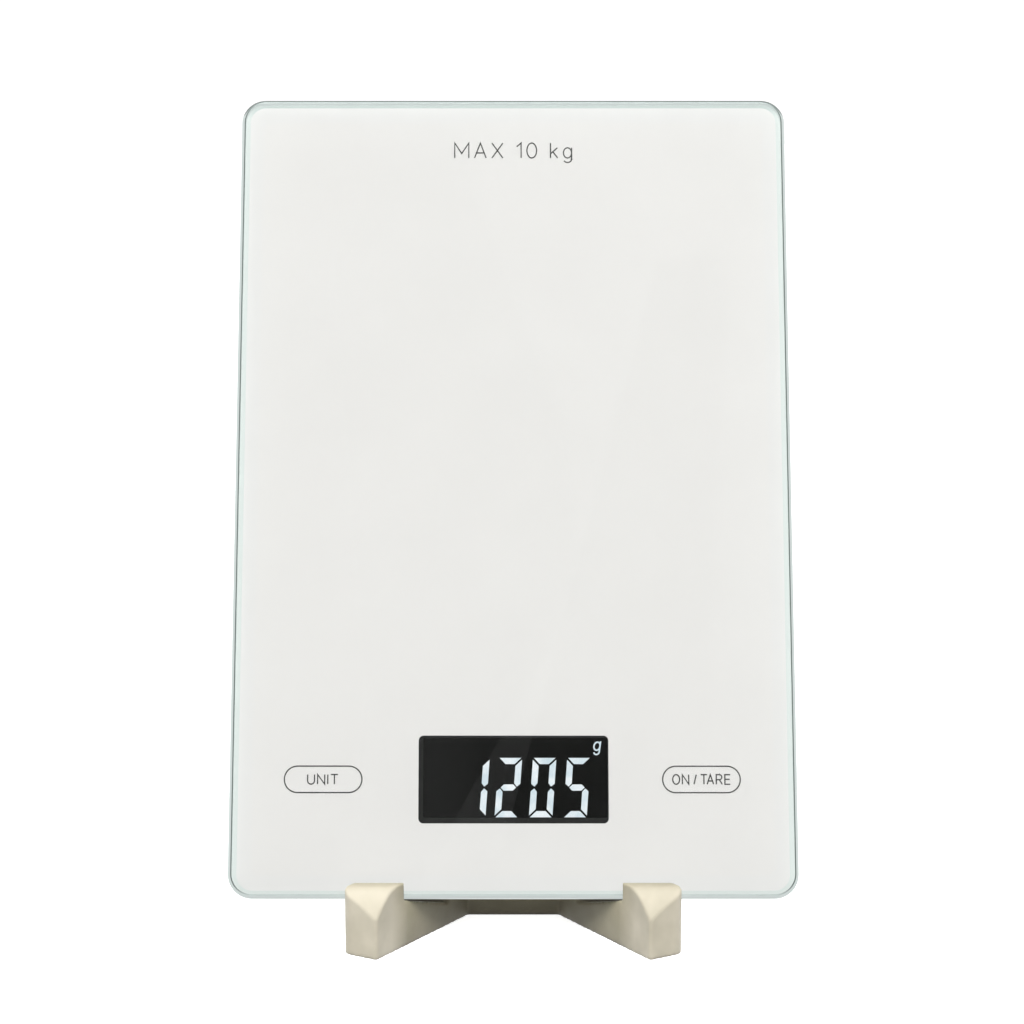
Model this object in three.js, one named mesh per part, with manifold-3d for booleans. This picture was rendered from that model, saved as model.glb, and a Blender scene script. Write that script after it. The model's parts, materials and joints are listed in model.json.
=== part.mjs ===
// A slim digital kitchen scale with a glass platform, leaning in a small moulded display stand.
//
// Millimetres, +Z up. The stand rests on z = 0 and the origin is under the middle of the whole.
// +Y points away from the person who reads the display.
//
// The scale is drawn in a frame of its own, lying on its feet: x to the right, y up the platform
// away from the display, z out of the glass, with z = 0 in the plane of the feet. A group then
// leans that frame back in the stand. Inside, a single load cell carries the platform (glass,
// housing, display and circuit board), which floats clear of the base (cover, feet, batteries).

import * as THREE from "three";
import { mergeVertices } from "three/addons/utils/BufferGeometryUtils.js";
import Module from "manifold-3d";

const wasm = await Module();
wasm.setup();

// ---- Driving dimensions -------------------------------------------------------------------

const GLASS = { width: 160, length: 233.6, thick: 4, corner: 7, edge: 0.5 };
const SCALE_HEIGHT = 20; // from the feet to the top of the glass
const GLASS_BOTTOM = SCALE_HEIGHT - GLASS.thick;
const LAYER_GAP = 0.05; // between bonded layers
const FIT_GAP = 0.3; // between pieces that are assembled loose

const PRINT = { inset: 2.6, thick: 0.2 };
const TAPE = { thick: 0.25, width: 9 };

const HOUSING = { inset: 7, taper: 3, corner: 6, wall: 2, ceiling: 1.5, rim: 5.4 };
const HOUSING_TOP = GLASS_BOTTOM - PRINT.thick - TAPE.thick - 3 * LAYER_GAP;
const CEILING_BOTTOM = HOUSING_TOP - HOUSING.ceiling;

const BASE = { gap: 1.2, corner: 4.5, wall: 1.8, floor: 1.8, bottom: 2.2, top: 9, chamfer: 1 };
const FLOOR_TOP = BASE.bottom + BASE.floor;

const FOOT = { radius: 7, sunk: 0.6, x: 54, y: 90 };

const DISPLAY = { width: 53.3, length: 24.5, corner: 1.6, y: -83.4 };
const TOUCH_KEY_X = 53.5; // the touch keys lie left and right of the display
const LCD = { width: 57, length: 28, thick: 2.1 };
const BOARD = { width: 128, length: 25, thick: 1.6, top: 11.1 };
const BOARD_SCREW = { x: 60, y: 9 }; // from the board's centre

const CELL = { width: 12, length: 60, height: 7.4, bottom: 5.25, bore: 2.3, boreY: 7 };
const CELL_TOP = CELL.bottom + CELL.height;
const CELL_HOLES = [17, 25]; // of each end's two screws, from the cell's middle
const CELL_SCREW = { shank: 1.8, head: 3.1, headHeight: 1.7 };

const BATTERY = { radius: 5.25, length: 43.5, nub: 1, nubRadius: 1.9, bottom: 3.95 };
const BAY = { y: 58, width: 53, length: 23.6, wall: 1.2, top: 12.5, hookRoom: 2.4 };
const DOOR = { width: 50, length: 22.6, thick: 1.4, gap: 0.4, corner: 1.5 };

const LEAN = THREE.MathUtils.degToRad(20); // of the scale, back from upright
const STAND = {
  armAngle: THREE.MathUtils.degToRad(31.5), // of each arm, out from straight ahead
  armWidth: 12,
  armHeight: 9, // behind the scale
  tipX: 37.55, // inner front corner of each arm
  hookHeight: 18.6,
  hookFront: 11, // height of the tip, below the hook's rounded top
  hookDepth: 9, // of that rounding
  seatDepth: 12.3, // from the arm's tip back to the glass
  seatHeight: 13.7, // of the glass's lower front edge
  spineHalfWidth: 13.3,
  spineFront: 39.8,
  spineTop: 96,
  spineThick: 6,
  webThick: 6,
  rearFoot: 105,
};

// ---- Materials ----------------------------------------------------------------------------

function material(color, roughness, metalness = 0, more = {}) {
  return new THREE.MeshStandardMaterial({ color, roughness, metalness, ...more });
}

const MATERIALS = {
  glass: material(0xd9e8e4, 0.05, 0, { transparent: true, opacity: 0.35 }),
  print: material(0xeae9e7, 0.4),
  tape: material(0xf4f4f2, 0.8),
  whitePlastic: material(0xe9e8e5, 0.45),
  rubber: material(0x8d8f90, 0.85),
  standPlastic: material(0xc9c1ae, 0.55),
  lcdGlass: material(0x10110f, 0.15),
  lightGuide: material(0xf2f5f5, 0.3),
  circuitBoard: material(0x1f5b3a, 0.5),
  blackResin: material(0x17181a, 0.5),
  steel: material(0xb9bcbe, 0.3, 1),
  aluminium: material(0xc7c9cb, 0.35, 1),
  springSteel: material(0xc9a66b, 0.3, 1),
  silicone: material(0xf1efe8, 0.6),
  batterySleeve: material(0x3c4247, 0.35, 0.3),
  wireSleeve: material(0xb02a2a, 0.5),
};

// ---- Shapes and solids --------------------------------------------------------------------

function roundedRect(width, length, radius, cx = 0, cy = 0) {
  const x = width / 2 - radius;
  const y = length / 2 - radius;
  const shape = new THREE.Shape();
  shape.absarc(cx + x, cy + y, radius, 0, Math.PI / 2);
  shape.absarc(cx - x, cy + y, radius, Math.PI / 2, Math.PI);
  shape.absarc(cx - x, cy - y, radius, Math.PI, 1.5 * Math.PI);
  shape.absarc(cx + x, cy - y, radius, 1.5 * Math.PI, 2 * Math.PI);
  return shape.closePath();
}

// A flat plate of that outline from z = bottom to z = top, with its edges eased by edge.
function slab(shape, bottom, top, edge = 0, curveSegments = 7) {
  return new THREE.ExtrudeGeometry(shape, {
    depth: top - bottom - 2 * edge,
    curveSegments,
    bevelEnabled: edge > 0,
    bevelThickness: edge,
    bevelSize: edge,
    bevelOffset: -edge,
    bevelSegments: 2,
  }).translate(0, 0, bottom + edge);
}

// A slab whose outline shrinks by taper on every side from its top to its bottom.
function taperedSlab(width, length, radius, taper, bottom, top) {
  const geometry = slab(roundedRect(width, length, radius), bottom, top);
  const points = geometry.getAttribute("position");
  for (let i = 0; i < points.count; i++) {
    if (points.getZ(i) > (bottom + top) / 2) continue;
    points.setX(i, points.getX(i) * (1 - (2 * taper) / width));
    points.setY(i, points.getY(i) * (1 - (2 * taper) / length));
  }
  return geometry;
}

function disc(radius, bottom, top, x = 0, y = 0, sides = 20) {
  return new THREE.CylinderGeometry(radius, radius, top - bottom, sides)
    .rotateX(Math.PI / 2)
    .translate(x, y, (bottom + top) / 2);
}

// A cylinder along x.
function rod(radius, x0, x1, y, z, sides = 20) {
  return new THREE.CylinderGeometry(radius, radius, x1 - x0, sides)
    .rotateZ(-Math.PI / 2)
    .translate((x0 + x1) / 2, y, z);
}

function block(x0, x1, y0, y1, z0, z1) {
  return new THREE.BoxGeometry(x1 - x0, y1 - y0, z1 - z0).translate(
    (x0 + x1) / 2,
    (y0 + y1) / 2,
    (z0 + z1) / 2,
  );
}

function toSolid(geometry) {
  const bare = new THREE.BufferGeometry().setAttribute("position", geometry.getAttribute("position"));
  bare.setIndex(geometry.index);
  const merged = mergeVertices(bare, 1e-4);
  return new wasm.Manifold(
    new wasm.Mesh({
      numProp: 3,
      vertProperties: new Float32Array(merged.getAttribute("position").array),
      triVerts: new Uint32Array(merged.index.array),
    }),
  );
}

function toGeometry(solid) {
  const mesh = solid.getMesh();
  const geometry = new THREE.BufferGeometry();
  geometry.setAttribute("position", new THREE.BufferAttribute(mesh.vertProperties, 3));
  geometry.setIndex(new THREE.BufferAttribute(mesh.triVerts, 1));
  geometry.computeVertexNormals();
  return geometry;
}

function join(...geometries) {
  return toGeometry(geometries.map(toSolid).reduce((all, next) => all.add(next)));
}

function cut(geometry, ...tools) {
  return toGeometry(tools.map(toSolid).reduce((all, next) => all.subtract(next), toSolid(geometry)));
}

function common(geometry, ...others) {
  return toGeometry(others.map(toSolid).reduce((all, next) => all.intersect(next), toSolid(geometry)));
}

class Helix extends THREE.Curve {
  constructor(startRadius, endRadius, height, turns) {
    super();
    Object.assign(this, { startRadius, endRadius, height, turns });
  }
  getPoint(t, target = new THREE.Vector3()) {
    const radius = THREE.MathUtils.lerp(this.startRadius, this.endRadius, t);
    const angle = 2 * Math.PI * this.turns * t;
    return target.set(radius * Math.cos(angle), radius * Math.sin(angle), this.height * t);
  }
}

function circleShape(radius, sides) {
  const corner = (i) =>
    new THREE.Vector2(
      radius * Math.cos((2 * Math.PI * i) / sides),
      radius * Math.sin((2 * Math.PI * i) / sides),
    );
  return new THREE.Shape(Array.from({ length: sides }, (_, i) => corner(i)));
}

// A coil spring from z = 0 to z = height over the wire's own thickness.
function coilSpring(startRadius, endRadius, height, turns, wireRadius) {
  return new THREE.ExtrudeGeometry(circleShape(wireRadius, 6), {
    steps: Math.round(turns * 12),
    extrudePath: new Helix(startRadius, endRadius, height - 2 * wireRadius, turns),
  }).translate(0, 0, wireRadius);
}

function wire(points, radius, steps) {
  const path = new THREE.CatmullRomCurve3(points.map((p) => new THREE.Vector3(...p)));
  return new THREE.ExtrudeGeometry(circleShape(radius, 8), { steps, extrudePath: path });
}

function part(name, geometry, look) {
  const mesh = new THREE.Mesh(geometry, MATERIALS[look]);
  mesh.name = name;
  return mesh;
}

// ---- The platform: glass, print, housing and electronics -----------------------------------

function glassPlate() {
  const outline = roundedRect(GLASS.width, GLASS.length, GLASS.corner);
  return part("glass_plate", slab(outline, GLASS_BOTTOM, SCALE_HEIGHT, GLASS.edge), "glass");
}

function displayWindow(bottom, top, grow = 0) {
  const { width, length, corner, y } = DISPLAY;
  return slab(roundedRect(width + 2 * grow, length + 2 * grow, corner, 0, y), bottom, top);
}

// The opaque layer behind the glass, open over the display.
function printedMask() {
  const top = GLASS_BOTTOM - LAYER_GAP;
  const { inset, thick } = PRINT;
  const sheet = slab(
    roundedRect(GLASS.width - 2 * inset, GLASS.length - 2 * inset, GLASS.corner - inset),
    top - thick,
    top,
  );
  return part("printed_mask", cut(sheet, displayWindow(top - 1, top + 1)), "print");
}

// A loop of double-sided foam tape that bonds the housing to the glass.
function mountingTape() {
  const bottom = HOUSING_TOP + LAYER_GAP;
  const width = GLASS.width - 2 * HOUSING.inset - 1;
  const length = GLASS.length - 2 * HOUSING.inset - 1;
  const outer = slab(roundedRect(width, length, 5), bottom, bottom + TAPE.thick);
  const hole = roundedRect(width - 2 * TAPE.width, length - 2 * TAPE.width, 3);
  return part("mounting_tape", cut(outer, slab(hole, bottom - 1, bottom + 1)), "tape");
}

function boardScrewPlaces() {
  return [-1, 1].flatMap((sx) =>
    [-1, 1].map((sy) => [sx * BOARD_SCREW.x, DISPLAY.y + sy * BOARD_SCREW.y]),
  );
}

function housingShell() {
  const width = GLASS.width - 2 * HOUSING.inset;
  const length = GLASS.length - 2 * HOUSING.inset;
  const { taper, corner, wall, rim } = HOUSING;
  const outer = taperedSlab(width, length, corner, taper, rim, HOUSING_TOP);
  const hollow = taperedSlab(
    width - 2 * wall,
    length - 2 * wall,
    corner - wall,
    taper * 1.2,
    rim - 2,
    CEILING_BOTTOM,
  );
  return cut(outer, hollow);
}

function upperHousing() {
  const lcdHole = block(
    -LCD.width / 2 - FIT_GAP,
    LCD.width / 2 + FIT_GAP,
    DISPLAY.y - LCD.length / 2 - FIT_GAP,
    DISPLAY.y + LCD.length / 2 + FIT_GAP,
    CEILING_BOTTOM - 1,
    HOUSING_TOP + 1,
  );
  const batteryRoom = block(
    -BAY.width / 2 - 1.5,
    BAY.width / 2 + 1.5,
    BAY.y - BAY.length / 2 - 1.5,
    BAY.y + BAY.length / 2 + BAY.hookRoom + 1.5,
    CEILING_BOTTOM - 1,
    HOUSING_TOP + 1,
  );
  const touchHoles = [-1, 1].map((s) =>
    disc(5.2, CEILING_BOTTOM - 1, HOUSING_TOP + 1, s * TOUCH_KEY_X, DISPLAY.y),
  );
  const bosses = boardScrewPlaces().map(([x, y]) =>
    disc(2.8, BOARD.top + FIT_GAP, CEILING_BOTTOM + 0.5, x, y, 16),
  );
  const bossBores = boardScrewPlaces().map(([x, y]) =>
    disc(1.3, BOARD.top - 1, HOUSING_TOP - 0.6, x, y, 12),
  );
  const ribs = [-1, 1].map((s) =>
    block(s * 24 - 0.7, s * 24 + 0.7, -60, 40, CEILING_BOTTOM - 1.6, CEILING_BOTTOM + 0.5),
  );
  const screwHoles = CELL_HOLES.flatMap((y) => [
    disc(CELL_SCREW.shank + FIT_GAP, CEILING_BOTTOM - 1, HOUSING_TOP + 1, 0, y, 16),
    disc(CELL_SCREW.head + FIT_GAP, HOUSING_TOP - 0.6, HOUSING_TOP + 1, 0, y, 20),
  ]);
  const shell = join(housingShell(), ...bosses, ...ribs);
  return part(
    "upper_housing",
    cut(shell, lcdHole, batteryRoom, ...touchHoles, ...bossBores, ...screwHoles),
    "whitePlastic",
  );
}

function displayParts() {
  const top = GLASS_BOTTOM - PRINT.thick - 3 * LAYER_GAP;
  const half = { x: LCD.width / 2, y: LCD.length / 2 };
  const panel = block(-half.x, half.x, DISPLAY.y - half.y, DISPLAY.y + half.y, top - LCD.thick, top);
  const guideTop = top - LCD.thick - LAYER_GAP;
  const guide = block(
    1 - half.x,
    half.x - 1,
    DISPLAY.y + 1 - half.y,
    DISPLAY.y - 1 + half.y,
    BOARD.top + LAYER_GAP,
    guideTop,
  );
  return [part("lcd_panel", panel, "lcdGlass"), part("backlight", guide, "lightGuide")];
}

function circuitBoard() {
  const board = slab(
    roundedRect(BOARD.width, BOARD.length, 1.5, 0, DISPLAY.y),
    BOARD.top - BOARD.thick,
    BOARD.top,
    0,
    3,
  );
  const holes = boardScrewPlaces().map(([x, y]) => disc(1.5, 5, 15, x, y, 12));
  return part("circuit_board", cut(board, ...holes), "circuitBoard");
}

// A pan-head screw pointing up, with its head's underside at z = seat and a cross recess.
function panScrew(x, y, seat, shankRadius, headRadius, headHeight, shankLength) {
  const head = disc(headRadius, seat - headHeight, seat, x, y, 20);
  const shank = disc(shankRadius, seat - 0.2, seat + shankLength, x, y, 14);
  const slot = headRadius * 0.55;
  const depth = headHeight * 0.6;
  const bottom = seat - headHeight;
  return cut(
    join(head, shank),
    block(x - slot, x + slot, y - 0.4, y + 0.4, bottom - 1, bottom + depth),
    block(x - 0.4, x + 0.4, y - slot, y + slot, bottom - 1, bottom + depth),
  );
}

function boardParts() {
  const underside = BOARD.top - BOARD.thick - LAYER_GAP;
  const chip = block(-16, -6, DISPLAY.y - 5, DISPLAY.y + 5, underside - 1.3, underside);
  const plug = block(22, 32, DISPLAY.y + 5, DISPLAY.y + 11, underside - 2.6, underside);
  const screws = boardScrewPlaces().map(([x, y], i) =>
    part(`board_screw_${i + 1}`, panScrew(x, y, underside, 1.1, 2.3, 1.2, 4.6), "steel"),
  );
  const springs = ["touch_spring_unit", "touch_spring_tare"].map((name, i) => {
    const bottom = BOARD.top + LAYER_GAP;
    const height = GLASS_BOTTOM - PRINT.thick - 2 * LAYER_GAP - FIT_GAP - bottom;
    const spring = coilSpring(4.2, 4.2, height, 3.5, 0.3);
    return part(name, spring.translate((2 * i - 1) * TOUCH_KEY_X, DISPLAY.y, bottom), "springSteel");
  });
  return [part("mcu_chip", chip, "blackResin"), part("board_plug", plug, "silicone"), ...screws, ...springs];
}

// ---- The load cell and what holds it --------------------------------------------------------

// An aluminium beam with a double bore, fixed to the base at its -y end and carrying the platform
// at its +y end.
function loadCell() {
  const { width, length, height, bottom, bore, boreY } = CELL;
  const middle = bottom + height / 2;
  const beam = block(-width / 2, width / 2, -length / 2, length / 2, bottom, CELL_TOP);
  const bores = [-boreY, boreY].map((y) => rod(bore, -width, width, y, middle));
  const slot = block(-width, width, -boreY, boreY, middle - 0.8, middle + 0.8);
  const screwHoles = CELL_HOLES.flatMap((y) => [
    disc(CELL_SCREW.shank + 0.1, bottom - 1, CELL_TOP + 1, 0, y, 16),
    disc(CELL_SCREW.shank + 0.1, bottom - 1, CELL_TOP + 1, 0, -y, 16),
  ]);
  return part("load_cell", cut(beam, ...bores, slot, ...screwHoles), "aluminium");
}

function spacer(name, side, bottom, top) {
  const near = Math.min(...CELL_HOLES) - 4;
  const plate = block(-6, 6, near, CELL.length / 2 - 0.5, bottom, top);
  const holes = CELL_HOLES.map((y) => disc(CELL_SCREW.shank + FIT_GAP, bottom - 1, top + 1, 0, y, 16));
  const geometry = cut(plate, ...holes);
  return part(name, side < 0 ? geometry.rotateZ(Math.PI) : geometry, "aluminium");
}

function platformScrews() {
  const seat = HOUSING_TOP - 0.6 + LAYER_GAP;
  return CELL_HOLES.map((y, i) => {
    const head = disc(CELL_SCREW.head, seat, seat + 0.45, 0, y);
    const shank = disc(CELL_SCREW.shank, seat - 7.5, seat + 0.2, 0, y, 16);
    return part(`platform_screw_${i + 1}`, join(head, shank), "steel");
  });
}

function baseScrews() {
  const seat = BASE.bottom + 1;
  return CELL_HOLES.map((y, i) => {
    const { shank, head, headHeight } = CELL_SCREW;
    const geometry = panScrew(0, -y, seat, shank, head, headHeight - 0.8, 7);
    return part(`base_screw_${i + 1}`, geometry, "steel");
  });
}

// The sealed strain gauges on the top of the beam.
function gaugeSeal() {
  const pad = slab(roundedRect(9, 22, 2), CELL_TOP + LAYER_GAP, CELL_TOP + 0.45);
  return part("gauge_seal", pad, "silicone");
}

// ---- The base: cover, feet, batteries and their door ----------------------------------------

function footPlaces() {
  return [-1, 1].flatMap((sx) => [-1, 1].map((sy) => [sx * FOOT.x, sy * FOOT.y]));
}

function baseSize() {
  const shrink = 2 * (HOUSING.inset + HOUSING.taper + HOUSING.wall + BASE.gap);
  return [GLASS.width - shrink, GLASS.length - shrink];
}

function bayWalls() {
  const { y, width, length, wall, top, hookRoom } = BAY;
  const [x0, x1] = [-width / 2, width / 2];
  const [y0, y1] = [y - length / 2, y + length / 2 + hookRoom];
  const outer = block(x0 - wall, x1 + wall, y0 - wall, y1 + wall, FLOOR_TOP - 0.5, top);
  return cut(outer, block(x0, x1, y0, y1, FLOOR_TOP - 1, top + 1));
}

function doorHinge() {
  return { y: BAY.y + DOOR.length / 2, z: BASE.bottom };
}

function baseCover() {
  const [width, length] = baseSize();
  const { corner, wall, bottom, top, chamfer } = BASE;
  const outer = cut(
    slab(roundedRect(width, length, corner), bottom, top + 4, chamfer),
    block(-width, width, -length, length, top, top + 9),
  );
  const inner = roundedRect(width - 2 * wall, length - 2 * wall, corner - wall);
  const tray = cut(outer, slab(inner, FLOOR_TOP, top + 1));
  const stops = footPlaces().map(([x, y]) =>
    disc(2.5, FLOOR_TOP - 0.5, CEILING_BOTTOM - 0.9, x * 0.9, y * 0.45, 16),
  );
  const bosses = CELL_HOLES.map((y) =>
    disc(CELL_SCREW.head + 1.4, FLOOR_TOP - 0.5, FLOOR_TOP + 0.01, 0, -y),
  );
  const screwHoles = CELL_HOLES.flatMap((y) => [
    disc(CELL_SCREW.shank + FIT_GAP, 0, FLOOR_TOP + 1, 0, -y, 16),
    disc(CELL_SCREW.head + FIT_GAP, 0, bottom + 1, 0, -y, 20),
  ]);
  const footSeats = footPlaces().map(([x, y]) =>
    disc(FOOT.radius + 0.2, 0, bottom + FOOT.sunk + LAYER_GAP, x, y, 24),
  );
  const doorHole = slab(
    roundedRect(DOOR.width + 2 * DOOR.gap, DOOR.length + 2 * DOOR.gap, DOOR.corner, 0, BAY.y),
    0,
    FLOOR_TOP + 0.2,
  );
  const thumbScoop = slab(roundedRect(16, 9, 3, 0, BAY.y - DOOR.length / 2 - 1.5), 0, bottom + 0.8);
  const labelRecess = slab(roundedRect(64, 34, 2, 0, -58), 0, bottom + 0.25);
  return part(
    "base_cover",
    cut(
      join(tray, bayWalls(), ...stops, ...bosses),
      ...screwHoles,
      ...footSeats,
      doorHole,
      thumbScoop,
      labelRecess,
    ),
    "whitePlastic",
  );
}

function feet() {
  const { radius, sunk } = FOOT;
  const top = BASE.bottom + sunk;
  const profile = [
    [0, 0],
    [radius - 1.6, 0],
    [radius - 1, 0.2],
    [radius - 0.6, 0.8],
    [radius - 0.6, BASE.bottom - 0.1],
    [radius, BASE.bottom + 0.1],
    [radius, top],
    [0, top],
  ].map(([r, z]) => new THREE.Vector2(r, z));
  const turned = new THREE.LatheGeometry(profile, 24).rotateX(Math.PI / 2);
  return footPlaces().map(([x, y], i) => part(`foot_${i + 1}`, turned.clone().translate(x, y, 0), "rubber"));
}

// The door swings on two hooks at its +y edge. A tongue at its -y edge is pressed to free it.
function batteryDoor() {
  const { width, length, thick, corner } = DOOR;
  const { y: hingeY, z: outside } = doorHinge();
  const inside = outside + thick;
  const plate = slab(roundedRect(width, length, corner, 0, BAY.y), outside, inside);
  const hooks = [-1, 1].flatMap((s) => [
    block(s * 16 - 3, s * 16 + 3, hingeY - 2, hingeY - 0.6, inside - 0.2, outside + 2.9),
    block(s * 16 - 3, s * 16 + 3, hingeY - 2, hingeY + 1.4, outside + 2.1, outside + 2.9),
  ]);
  const tongueY = BAY.y - length / 2;
  const tongue = block(-5, 5, tongueY + 0.2, tongueY + 1.2, inside - 0.2, inside + 2.2);
  const grooves = [0, 1, 2].map((i) =>
    block(-6, 6, tongueY + 3 + 1.8 * i, tongueY + 3.8 + 1.8 * i, outside - 1, outside + 0.35),
  );
  return part("battery_door", cut(join(plate, ...hooks, tongue), ...grooves), "whitePlastic");
}

// Two AAA cells side by side, head to tail, with a coil at each minus end.
function batteryParts() {
  const { radius, length, nub, nubRadius, bottom } = BATTERY;
  const z = bottom + radius;
  const wallX = BAY.width / 2;
  return [-1, 1].flatMap((side, i) => {
    const y = BAY.y + side * (radius + 0.35);
    const can = [
      [0, 0],
      [radius - 0.5, 0],
      [radius, 0.5],
      [radius, length - 0.6],
      [radius - 0.8, length],
      [nubRadius, length],
      [nubRadius, length + nub],
      [0, length + nub],
    ].map(([r, along]) => new THREE.Vector2(r, along));
    const contact = { thick: 0.45, gap: 0.1 };
    const nubEnd = wallX - contact.thick - 2 * contact.gap;
    const minusEnd = nubEnd - length - nub;
    const cell = new THREE.LatheGeometry(can, 24).rotateZ(-Math.PI / 2).translate(minusEnd, 0, 0);
    const coil = coilSpring(3.6, 2, minusEnd + wallX - 2 * contact.gap, 4, 0.3)
      .rotateY(Math.PI / 2)
      .translate(contact.gap - wallX, 0, 0);
    const plate = block(
      nubEnd + contact.gap,
      wallX - contact.gap,
      -4.5,
      4.5,
      FLOOR_TOP - z + 0.2,
      radius - 1,
    );
    const place = (geometry) =>
      (side < 0 ? geometry : geometry.rotateZ(Math.PI)).translate(0, y, z);
    return [
      part(`battery_${i + 1}`, place(cell), "batterySleeve"),
      part(`minus_coil_${i + 1}`, place(coil), "springSteel"),
      part(`plus_contact_${i + 1}`, place(plate), "springSteel"),
    ];
  });
}

// Leads that lie on the base's floor, from the load cell and from the batteries to the board.
function leads() {
  const floor = FLOOR_TOP + 1.4;
  const boardEdge = DISPLAY.y + 11;
  const cellLead = [
    [7.3, -2, 9],
    [10, -4, 8.6],
    [16, -14, floor],
    [27, -34, floor],
    [28, -56, floor],
    [27, boardEdge + 4, 7.4],
    [27, boardEdge + 0.5, 8],
  ];
  const batteryLead = [
    [-20, BAY.y - BAY.length / 2 - BAY.wall - 1.4, 8],
    [-21, BAY.y - BAY.length / 2 - BAY.wall - 4, 6.4],
    [-31, 26, floor],
    [-33, -10, floor],
    [-30, -44, floor],
    [-26, boardEdge - 1, floor],
    [-25, boardEdge - 6, 7],
  ];
  return [
    part("load_cell_lead", wire(cellLead, 1, 34), "wireSleeve"),
    part("battery_lead", wire(batteryLead, 1, 44), "wireSleeve"),
  ];
}

// ---- The stand ------------------------------------------------------------------------------

// Drawn with y = 0 at the tips of the arms. An arm's own frame has x from its tip to its back,
// y = 0 at its inner side and y = -armWidth at its outer side.
function armProfile(armLength) {
  const { armHeight, hookHeight } = STAND;
  const hookEnd = 28;
  const profile = new THREE.Shape();
  profile.moveTo(0, 0);
  profile.lineTo(0, hookHeight);
  profile.lineTo(hookEnd, hookHeight);
  profile.lineTo(hookEnd, armHeight);
  profile.lineTo(armLength, armHeight);
  profile.lineTo(armLength, 0);
  return profile.closePath();
}

function armPlan(armLength) {
  const { armWidth } = STAND;
  const [outer, inner] = [3.2, 0.8]; // radii of the tip's two upright edges
  const plan = new THREE.Shape();
  plan.moveTo(armLength, -armWidth);
  plan.lineTo(armLength, 0);
  plan.absarc(inner, -inner, inner, Math.PI / 2, Math.PI);
  plan.absarc(outer, outer - armWidth, outer, Math.PI, 1.5 * Math.PI);
  return plan.closePath();
}

// The right-hand arm, ending flush with the back of the upright plate. Its hook's back is upright.
function standArm() {
  const { armWidth, armAngle, tipX, hookHeight, seatDepth, seatHeight, spineFront, spineThick } = STAND;
  const back = spineFront + spineThick;
  const armLength = back / Math.cos(armAngle) + armWidth;
  const side = new THREE.ExtrudeGeometry(armProfile(armLength), { depth: armWidth + 2, bevelEnabled: false })
    .rotateX(Math.PI / 2)
    .translate(0, 1, 0);
  const bar = common(side, slab(armPlan(armLength), 0, hookHeight + 1, 0, 5));
  bar.rotateZ(Math.PI / 2 + armAngle).translate(tipX, 0, 0);
  const behindHook = block(-99, 99, seatDepth - 0.3, back + 1, seatHeight, 99);
  return cut(bar, behindHook, block(-99, 99, back, back + 99, -1, 99));
}

// A solid that runs straight across the stand, from its outline in (y, z).
function across(outline, halfWidth, curveSegments = 1) {
  return new THREE.ExtrudeGeometry(outline, { depth: 2 * halfWidth, bevelEnabled: false, curveSegments })
    .rotateX(Math.PI / 2)
    .rotateZ(Math.PI / 2)
    .translate(-halfWidth, 0, 0);
}

// What is cut off above the rounding of both hooks.
function aboveHooks() {
  const { hookFront, hookHeight, hookDepth } = STAND;
  const above = hookHeight + 1;
  const outline = new THREE.Shape();
  outline.moveTo(0, hookFront);
  outline.quadraticCurveTo(hookDepth * 0.55, hookHeight, hookDepth, hookHeight);
  outline.lineTo(hookDepth, above);
  outline.lineTo(-1, above);
  outline.lineTo(-1, hookFront);
  return across(outline.closePath(), GLASS.width / 2, 10);
}

function mirrored(geometry) {
  const turned = geometry.clone().scale(-1, 1, 1);
  const index = turned.index.array;
  for (let i = 0; i < index.length; i += 3) [index[i + 1], index[i + 2]] = [index[i + 2], index[i + 1]];
  return turned;
}

// The upright plate behind the scale, with a web that runs down its back to a rear foot.
function standSpine() {
  const { spineFront, spineTop, spineThick, webThick, spineHalfWidth, rearFoot } = STAND;
  const slope = Math.tan(LEAN);
  const feetDepth = STAND.seatDepth + SCALE_HEIGHT * Math.cos(LEAN); // of the feet's plane at its lower edge
  const feetHeight = STAND.seatHeight - SCALE_HEIGHT * Math.sin(LEAN);
  const bend = feetHeight + (spineFront - feetDepth) / slope; // the front leans above this height
  const front = (z) => spineFront + Math.max(0, z - bend) * slope;
  const upright = (points, halfWidth) =>
    across(new THREE.Shape(points.map(([y, z]) => new THREE.Vector2(y, z))), halfWidth);
  const plate = upright(
    [
      [front(0), 0],
      [front(0) + spineThick, 0],
      [front(0) + spineThick, bend],
      [front(spineTop) + spineThick, spineTop],
      [front(spineTop), spineTop],
      [front(0), bend],
    ],
    spineHalfWidth,
  );
  const web = upright(
    [
      [front(0) + 1, 0],
      [rearFoot, 0],
      [rearFoot, 6],
      [rearFoot - 20, 22],
      [front(70) + 12, 66],
      [front(84) + 4, 84],
      [front(0) + 1, bend],
    ],
    webThick / 2,
  );
  const outline = new THREE.Shape();
  outline.moveTo(-spineHalfWidth, -1);
  outline.lineTo(spineHalfWidth, -1);
  outline.lineTo(spineHalfWidth, 16);
  outline.lineTo(9, spineTop - 9);
  outline.absarc(0, spineTop - 9, 9, 0, Math.PI);
  outline.lineTo(-spineHalfWidth, 16);
  const silhouette = new THREE.ExtrudeGeometry(outline.closePath(), {
    depth: 90,
    bevelEnabled: false,
    curveSegments: 10,
  })
    .rotateX(Math.PI / 2)
    .translate(0, 120, 0);
  const toe = slab(roundedRect(20, 14, 5, 0, rearFoot - 7), 0, 5);
  return join(common(plate, silhouette), web, toe);
}

// The room that the leaning scale needs, in the stand's frame.
function scaleRoom() {
  const reach = 60;
  const slack = 0.35;
  return block(
    -GLASS.width,
    GLASS.width,
    -GLASS.length / 2 - slack,
    reach,
    -slack,
    SCALE_HEIGHT + slack,
  ).applyMatrix4(scalePlace());
}

function stand() {
  const arm = standArm();
  const geometry = cut(join(arm, mirrored(arm), standSpine()), aboveHooks(), scaleRoom());
  return part("stand", geometry, "standPlastic");
}

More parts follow.
